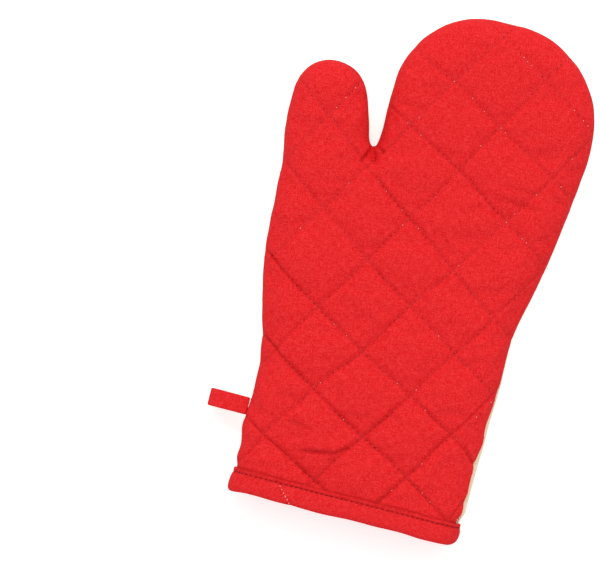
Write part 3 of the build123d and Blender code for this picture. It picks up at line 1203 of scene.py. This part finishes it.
class MITT_OT_covers(Operator):
    """Makes the quilted front and back covers"""

    bl_idname = "mitt.covers"
    bl_label = "Quilted covers"

    def execute(self, context):
        sizes = context.scene.mitt_sizes
        colours = context.scene.mitt_colours
        red = red_cloth("red_linen_cotton", colours)
        ecru = plain_cloth("ecru_cotton", colours.ecru)
        skin = quilted_skin(sizes)
        finish_skin(skin, sizes)
        for number, (side, section) in enumerate(PANELS):
            bm = cut_panel(skin, number, COVER_START)
            piece = new_piece(f"{side}_cloth_{section}", bm, red if side == "front" else ecru)
            share_normals(piece)
            for node in SECTION_NODES[section]:
                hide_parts(f"{side}_cover_{node}", f"{side}_wadding_{node}")
                if side == "front":
                    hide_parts(f"side_seam_{node}")
            bend_with(piece, section)
            thicken(piece, sizes.cloth)
        bpy.data.objects.remove(skin)
        return {"FINISHED"}


class MITT_OT_lining(Operator):
    """Makes the lining inside the mitt"""

    bl_idname = "mitt.lining"
    bl_label = "Lining"

    def execute(self, context):
        sizes = context.scene.mitt_sizes
        cotton = plain_cloth("lining_cotton", context.scene.mitt_colours.lining)
        pitch = sizes.quilt_pitch / MM
        mesh, points, even, _ = even_skin(pitch, LINING_CELLS)
        outward = normals_of(mesh)
        pull = 0.5 * np.exp(-np.minimum(*line_distance(even, pitch)) / 4.0)
        pull -= 3.0 * bell(np.hypot(points[:, 0] - CLEFT[0], points[:, 1] - CLEFT[1]), 14.0)
        points -= outward * (sizes.lining_inset / MM - pull)[:, None]
        set_points(mesh, in_frame(points))
        lay_flat(mesh, "weave", points[:, :2])
        skin = bpy.data.objects.new("lining_skin", mesh)
        for number, (side, section) in enumerate(PANELS):
            piece = new_piece(f"{side}_lining_cloth_{section}", cut_panel(skin, number, LINING_START), cotton)
            for node in SECTION_NODES[section]:
                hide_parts(f"{side}_lining_{node}")
            bend_with(piece, section)
            thicken(piece, LINING_THICKNESS)
        bpy.data.objects.remove(skin)
        return {"FINISHED"}


def surface_of(names):
    """Tree for finding places on the named pieces."""
    bm = bmesh.new()
    for name in names:
        bm.from_mesh(bpy.data.objects[name].data)
    tree = BVHTree.FromBMesh(bm)
    bm.free()
    return tree


def add_stitch(bm, at, normal, along, half, thick, material):
    """Adds one rounded stitch that lies on a surface."""
    side = normal.cross(along).normalized()
    along = side.cross(normal)
    turn = Matrix((along * half, side * thick, normal * thick * 0.9)).transposed().to_4x4()
    stand = Matrix.Translation(at) @ turn
    made = bmesh.ops.create_uvsphere(bm, u_segments=6, v_segments=4, radius=1.0, matrix=stand)
    for face in {f for v in made["verts"] for f in v.link_faces}:
        face.material_index = material


def take_in(bm, small):
    """Moves a small mesh's contents into a larger one."""
    carrier = bpy.data.meshes.new("carrier")
    small.to_mesh(carrier)
    small.free()
    bm.from_mesh(carrier)
    bpy.data.meshes.remove(carrier)


def sew_line(sizes, tree, front, thumb_piece, rising, mark, draw):
    """Stitches along one quilting line of one side, for the thumb or for the rest."""
    pitch = sizes.quilt_pitch / MM
    step = sizes.stitch_step / MM
    reach = 8 * pitch
    along = np.arange(-reach, reach, step)
    level = np.full(len(along), mark * pitch)
    even = np.column_stack((level, along) if rising else (along, level))
    ahead = even + np.array((0.0, 1.0) if rising else (1.0, 0.0))
    here = pattern_from_lattice(sewn_from_even(even, pitch))
    there = pattern_from_lattice(sewn_from_even(ahead, pitch))
    wanted = is_thumb(even - np.array((0.01, 0.0)), here) == thumb_piece
    wanted &= here[:, 1] > BINDING_WIDTH + 0.8
    often = FLECK_SHARE + FLECK_SHARE_ADDED * smooth_step(here[:, 1], *FLECK_MORE)
    seldom = 0.0 if thumb_piece else FLECK_SHARE_SELDOM
    flecks = front * (often if rising == thumb_piece else np.full(len(along), seldom))
    drop = Vector((0, 0, -1.0 if front else 1.0))
    high = THICKNESS + RAY_START if front else -RAY_START
    bm = bmesh.new()
    for k in np.flatnonzero(wanted):
        fleck = draw.random()
        offset = draw.uniform(-FLECK_STRAY, FLECK_STRAY)
        hit, normal, _, _ = tree.ray_cast(place(here[k, 0], here[k, 1], high), drop)
        if hit is None or normal.z * -drop.z < 0.4:
            continue
        direction = Vector((there[k, 0] - here[k, 0], there[k, 1] - here[k, 1], 0.0)).normalized()
        at = hit - normal * sizes.thread * STITCH_SINK
        add_stitch(bm, at, normal, direction, STITCH_SHARE * sizes.stitch_step, sizes.thread, 0)
        hole = hit + direction * (step * 0.5 * MM)
        side = normal.cross(direction).normalized() * offset * MM
        if fleck < flecks[k]:
            add_stitch(bm, hole + side + normal * 0.0001, normal, direction, *FLECK, 1)
        # Above HOLE_FROM, a dark mark of painted shade sits in the open needle hole
        elif fleck > HOLE_FROM:
            add_stitch(bm, hole + normal * 0.00002, normal, direction, *HOLE, 2)
    return bm


def quilting_stitches(sizes, tree, front, thumb_piece):
    """Stitches along all quilting lines of one side, for the thumb or for the rest."""
    draw = random.Random(STITCH_SEED)
    bm = bmesh.new()
    for rising, lines in ((True, RISING_LINES), (False, FALLING_LINES)):
        for mark in sorted(lines):
            take_in(bm, sew_line(sizes, tree, front, thumb_piece, rising, mark, draw))
    return bm


class MITT_OT_quilting(Operator):
    """Sews the quilting stitches into the covers"""

    bl_idname = "mitt.quilting"
    bl_label = "Quilting stitches"

    def execute(self, context):
        sizes = context.scene.mitt_sizes
        colours = context.scene.mitt_colours
        red = material_named("red_thread", thread_material, colours.red_thread)
        ecru = material_named("ecru_thread", thread_material, colours.ecru_thread)
        fibre = material_named("bare_fibre", thread_material, colours.fibre)
        # Dark red of painted shade inside the open needle holes
        hole = material_named("needle_hole", thread_material, shade(colours.red_dark, 0.55))
        for side, section in PANELS:
            tree = surface_of([f"{side}_cloth_main", f"{side}_cloth_thumb"])
            bm = quilting_stitches(sizes, tree, side == "front", section == "thumb")
            piece = new_piece(f"{side}_stitches_{section}", bm, red if side == "front" else ecru)
            piece.data.materials.append(fibre)
            piece.data.materials.append(hole if side == "front" else ecru)
            keep_on_table(piece)
            for node in SECTION_NODES[section]:
                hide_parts(f"{side}_quilting_{node}")
            bend_with(piece, section)
        return {"FINISHED"}


def sweep_round_cuff(bm):
    """Sweeps a chain of edges once round the cuff: spun at the corners and pushed along the straight runs."""
    geom = bm.verts[:] + bm.edges[:]
    for k, (x, z) in enumerate(CUFF_CORNERS):
        geom = spin(bm, geom, (x, 0, z), (0, 1, 0), -math.pi / 2, CORNER_STEPS)
        next_x, next_z = CUFF_CORNERS[(k + 1) % len(CUFF_CORNERS)]
        run = Vector((next_x - x, 0, next_z - z))
        geom = push(bm, geom, run, RUN_STEPS if abs(run.x) > abs(run.z) else 1)
    bmesh.ops.remove_doubles(bm, verts=bm.verts, dist=0.01)
    bmesh.ops.recalc_face_normals(bm, faces=bm.faces)


def binding_form():
    """Folded strip round the cuff, in the pattern, with flat coordinates on the bias."""
    bm = bmesh.new()
    chain = [(CUFF_HALF + outset, y, SEAM_Z + HALF_WALL) for outset, y in BINDING_PROFILE]
    tip = bm.verts.new(chain[0])
    for point in chain[1:]:
        tip = bmesh.ops.extrude_vert_indiv(bm, verts=[tip])["verts"][0]
        tip.co = point
    sweep_round_cuff(bm)
    flat = bm.loops.layers.uv.new("weave")
    for face in bm.faces:
        end = math.copysign(1.0, face.calc_center_median().x)
        for loop in face.loops:
            x, y, z = loop.vert.co
            round_cuff = x + end * (THICKNESS - z)
            loop[flat].uv = ((round_cuff + y) * BIAS, (y - round_cuff) * BIAS)
    return bm


def cuff_shape(points):
    """Small unevenness of the sewn cuff: a full left corner, a round right one and a wavy edge."""
    x, y = points[:, 0], points[:, 1]
    left = bell(x + CUFF_HALF, LEFT_CORNER)
    low = 1.0 - smooth_step(y, *LEFT_CORNER_LOW)
    x -= (LEFT_CORNER_OUT * low - LEFT_CORNER_IN) * left
    y -= LEFT_CORNER_DOWN * left * low
    y += sum(height * np.sin(x / length + start) for height, length, start in CUFF_WAVES)
    right = bell(x - CUFF_HALF, RIGHT_CORNER)
    rounding = np.clip((RIGHT_CORNER_TOP - y) / RIGHT_CORNER_HEIGHT, 0.0, 1.0)
    x -= (RIGHT_CORNER_IN + RIGHT_CORNER_ROUND * (1.0 - np.sqrt(1.0 - rounding**2))) * right
    x -= RIGHT_TOP_IN * smooth_step(y, *RIGHT_TOP) * right


def shape_binding(piece):
    """Gives the strip its unevenness and its slanting join, and paints shade along its stitching line, its
    upper edge and its join.
    """
    points = points_of(piece.data)
    cuff_shape(points)
    outward = normals_of(piece.data)
    points += outward * (0.18 * noise_field(points, 0.12, 8))[:, None]
    join = np.abs((points[:, 0] - JOIN_MIDDLE[0]) + (points[:, 1] - JOIN_MIDDLE[1]) * JOIN_SLANT)
    on_front = points[:, 2] > SEAM_Z
    points += outward * np.where(on_front, -0.5 * bell(join, 0.9), 0.0)[:, None]
    points[:, 2] = np.maximum(points[:, 2], BINDING_GAP)
    set_points(piece.data, in_frame(points))
    # Painted shade: a line along the topstitching, a shadow line at the strip's upper edge and shade in the
    # sunken join
    groove = 0.9 * bell(points[:, 1] - TOPSTITCH_AT, 0.8) + smooth_step(points[:, 1], 12.8, 13.4)
    groove += np.where(on_front, 0.8 * bell(join, 0.7), 0.0)
    write_attribute(piece.data, "groove", np.clip(groove, 0.0, 1.0))


def cuff_ring(at):
    """Place on the cuff's section, across and up, at a distance along it, and the way it faces there."""
    quarter = EDGE_RADIUS * math.pi / 2
    for k, here in enumerate(CUFF_CORNERS):
        here = Vector(here)
        there = Vector(CUFF_CORNERS[(k + 1) % len(CUFF_CORNERS)])
        straight = (there - here).length
        if at <= straight + quarter:
            break
        at -= straight + quarter
    angle = math.radians(90 * (k + 1)) + max(0.0, at - straight) / EDGE_RADIUS
    facing = Vector((math.cos(angle), math.sin(angle)))
    spot = here.lerp(there, min(1.0, at / straight)) + facing * EDGE_RADIUS
    return spot, Vector((facing.x, 0, facing.y))


def binding_stitches(sizes):
    """Topstitching round the cuff, pale stitches along the join and the tack at the side seam."""
    bm = bmesh.new()
    tree = surface_of(["cuff_binding_strip"])
    round_length = 4 * (CORNER_X + HALF_WALL) + 2 * math.pi * EDGE_RADIUS
    count = round(round_length / TOPSTITCH_STEP)
    for k in range(count):
        spot, facing = cuff_ring(round_length * k / count)
        hit, normal, _, _ = tree.ray_cast(place(spot.x, TOPSTITCH_AT, spot.y) + facing * 0.02, -facing)
        if hit is None:
            continue
        along = Vector((0, 1, 0)).cross(normal)
        add_stitch(bm, hit + normal * 0.00005, normal, along, TOPSTITCH_HALF, sizes.thread * 1.5, 0)
    start, end = Vector(JOIN_START), Vector(JOIN_END)
    way = (end - start).to_3d().normalized()
    for k in range(JOIN_STITCHES):
        spot = start.lerp(end, k / (JOIN_STITCHES - 1))
        hit, normal, _, _ = tree.ray_cast(place(spot.x, spot.y, THICKNESS + RAY_START), Vector((0, 0, -1)))
        half = 0.0006 if k == JOIN_LONG_STITCH else 0.0004
        add_stitch(bm, hit, normal, way, half, 0.0003, 1)
    side = surface_of(["front_cloth_main", "back_cloth_main"])
    for y, z, slant in TACK:
        hit, normal, _, _ = side.ray_cast(place(CUFF_HALF + RAY_START, y, z), Vector((-1, 0, 0)))
        along = Vector((0, slant, 1)).normalized()
        add_stitch(bm, hit + normal * sizes.thread, normal, along, TACK_HALF, sizes.thread * 1.6, 2)
    return bm


class MITT_OT_binding(Operator):
    """Makes the cuff binding and the stitching that holds it"""

    bl_idname = "mitt.binding"
    bl_label = "Cuff binding"

    def execute(self, context):
        colours = context.scene.mitt_colours
        bias = red_cloth("red_bias_binding", colours)
        red = material_named("dark_red_thread", thread_material, shade(colours.red_thread, 0.5))
        piece = new_piece("cuff_binding_strip", binding_form(), bias)
        shape_binding(piece)
        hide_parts("cuff_binding")
        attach(piece, "hand")
        refine(piece)

        stitches = new_piece("binding_topstitch", binding_stitches(context.scene.mitt_sizes), red)
        stitches.data.materials.append(material_named("bare_fibre", thread_material, colours.fibre))
        stitches.data.materials.append(material_named("ecru_thread", thread_material, colours.ecru_thread))
        keep_on_table(stitches)
        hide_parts("binding_stitching")
        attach(stitches, "hand")
        return {"FINISHED"}


def loop_form(thick):
    """Middle surface of the folded tape, from the seam out round the eye and back."""
    pivot = Vector(joints["loop_swing"]["pos_m"])
    out = Vector((-math.cos(LOOP_DROOP), 0.0, -math.sin(LOOP_DROOP)))
    up = Vector((out.z, 0.0, -out.x))
    root, eye = LOOP_ROOT - thick / 2, LOOP_EYE - thick / 2
    lean = math.asin((eye - root) / LOOP_SPAN)
    above = up * math.cos(lean) - out * math.sin(lean)
    below = up * math.cos(lean) + out * math.sin(lean)
    turn_axis = up.cross(out)
    bm = bmesh.new()
    start = pivot + above * root
    tip = bm.verts.new((start.x, loop_low.y, start.z))
    push(bm, [tip], Vector((0, loop_high.y - loop_low.y, 0)), 6)
    geom = bm.verts[:] + bm.edges[:]
    geom = push(bm, geom, out * LOOP_SPAN + above * (eye - root), 8)
    geom = spin(bm, geom, pivot + out * LOOP_SPAN, turn_axis, math.pi + 2 * lean, 12)
    geom = push(bm, geom, -out * LOOP_SPAN + below * (eye - root), 8)
    spin(bm, geom, pivot, turn_axis, math.pi - 2 * lean, 6)
    bmesh.ops.remove_doubles(bm, verts=bm.verts, dist=0.0001)
    bmesh.ops.recalc_face_normals(bm, faces=bm.faces)
    return bm


def loop_ends_form():
    """Block of the loop's ends, with broken edges."""
    low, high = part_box("loop_ends")
    bm = bmesh.new()
    bmesh.ops.create_cube(bm, size=1.0)
    bmesh.ops.scale(bm, vec=high - low, verts=bm.verts)
    bmesh.ops.translate(bm, vec=(low + high) / 2, verts=bm.verts)
    bmesh.ops.bevel(
        bm, geom=bm.edges, offset=LOOP_ENDS_BEVEL, segments=2, profile=0.5, affect="EDGES", material=-1
    )
    return bm


class MITT_OT_loop(Operator):
    """Makes the hanging loop"""

    bl_idname = "mitt.loop"
    bl_label = "Hanging loop"

    def execute(self, context):
        thick = context.scene.mitt_sizes.tape
        tape = red_cloth("red_loop_tape", context.scene.mitt_colours)
        piece = new_piece("hanging_loop_tape", loop_form(thick), tape)
        lay_flat(piece.data, "weave", points_of(piece.data)[:, :2] / MM)
        thicken(piece, thick, 0.0)
        refine(piece)
        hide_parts("hanging_loop")
        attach(piece, "loop")

        ends = new_piece("hanging_loop_ends", loop_ends_form(), tape)
        lay_flat(ends.data, "weave", points_of(ends.data)[:, :2] / MM)
        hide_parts("loop_ends")
        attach(ends, "hand")
        return {"FINISHED"}


def white_world():
    """World that looks white to the camera, and lights a little less."""
    world = bpy.data.worlds.new("soft_studio")
    world.use_nodes = True
    tree = world.node_tree
    seen = new_node(tree, "LightPath").outputs["Is Camera Ray"]
    level = math_node(tree, "MULTIPLY_ADD", seen, 1.0 - WORLD_LEVEL, WORLD_LEVEL)
    set_inputs(tree, tree.nodes["Background"], {"Color": opaque(WHITE), "Strength": level})
    return world


def floor_material(colour):
    """White paper that glows a little where it is seen directly."""
    material, tree, shader = new_material("floor_paper")
    path = new_node(tree, "LightPath").outputs
    seen = math_node(tree, "MAXIMUM", path["Is Camera Ray"], path["Is Glossy Ray"])
    seen = math_node(tree, "MAXIMUM", seen, path["Is Transmission Ray"])
    surface = {
        "Base Color": opaque(colour),
        "Roughness": 0.9,
        "Specular IOR Level": 0.1,
        "Emission Color": opaque(WHITE),
        "Emission Strength": math_node(tree, "MULTIPLY", seen, FLOOR_GLOW),
    }
    set_inputs(tree, shader, surface)
    return material


class MITT_OT_stage(Operator):
    """Makes the floor, the light and the camera"""

    bl_idname = "mitt.stage"
    bl_label = "Stage"

    def execute(self, context):
        scene = context.scene
        scene.view_settings.view_transform = "Standard"
        scene.world = white_world()
        bm = bmesh.new()
        bmesh.ops.create_grid(bm, x_segments=1, y_segments=1, size=FLOOR_HALF)
        floor = new_piece("floor", bm, floor_material(scene.mitt_colours.floor))

        lamp = bpy.data.lights.new("key", "AREA")
        lamp.size = LAMP_SIZE
        lamp.energy = LAMP_POWER
        holder = bpy.data.objects.new("key", lamp)
        holder.location = place(*LAMP_AIM) + Vector(LAMP_AWAY)
        holder.rotation_euler = (-Vector(LAMP_AWAY)).to_track_quat("-Z", "Y").to_euler()
        scene.collection.objects.link(holder)

        lens = bpy.data.cameras.new("camera")
        lens.lens = CAMERA_LENS
        lens.sensor_width = CAMERA_SENSOR
        lens.clip_end = 20.0
        camera = bpy.data.objects.new("camera", lens)
        camera.location = place(*VIEW_CENTRE, SEAM_Z + VIEW_WIDTH * CAMERA_LENS / CAMERA_SENSOR)
        camera.rotation_euler = (0.0, 0.0, VIEW_TURN)
        scene.collection.objects.link(camera)
        scene.camera = camera
        return {"FINISHED"}


class MITT_PT_panel(Panel):
    """Lists the mitt's sizes and colours, and the steps that make its pieces"""

    bl_idname = "MITT_PT_panel"
    bl_label = "Oven Mitt"
    bl_space_type = "VIEW_3D"
    bl_region_type = "UI"
    bl_category = "Oven Mitt"

    def draw(self, context):
        layout = self.layout
        for group in (context.scene.mitt_sizes, context.scene.mitt_colours):
            column = layout.column()
            for name in group.__annotations__:
                column.prop(group, name)
        for step in STEPS:
            layout.operator(step.bl_idname)


STEPS = (
    MITT_OT_stage,
    MITT_OT_covers,
    MITT_OT_lining,
    MITT_OT_quilting,
    MITT_OT_binding,
    MITT_OT_loop,
)
CLASSES = (MittSizes, MittColours) + STEPS + (MITT_PT_panel,)


def register():
    for cls in CLASSES:
        bpy.utils.register_class(cls)
    bpy.types.Scene.mitt_sizes = PointerProperty(type=MittSizes)
    bpy.types.Scene.mitt_colours = PointerProperty(type=MittColours)


def unregister():
    del bpy.types.Scene.mitt_colours
    del bpy.types.Scene.mitt_sizes
    for cls in reversed(CLASSES):
        bpy.utils.unregister_class(cls)


def main():
    register()
    bpy.ops.mitt.stage()
    bpy.ops.mitt.covers()
    bpy.ops.mitt.lining()
    bpy.ops.mitt.quilting()
    bpy.ops.mitt.binding()
    bpy.ops.mitt.loop()


if __name__ == "__main__":
    main()
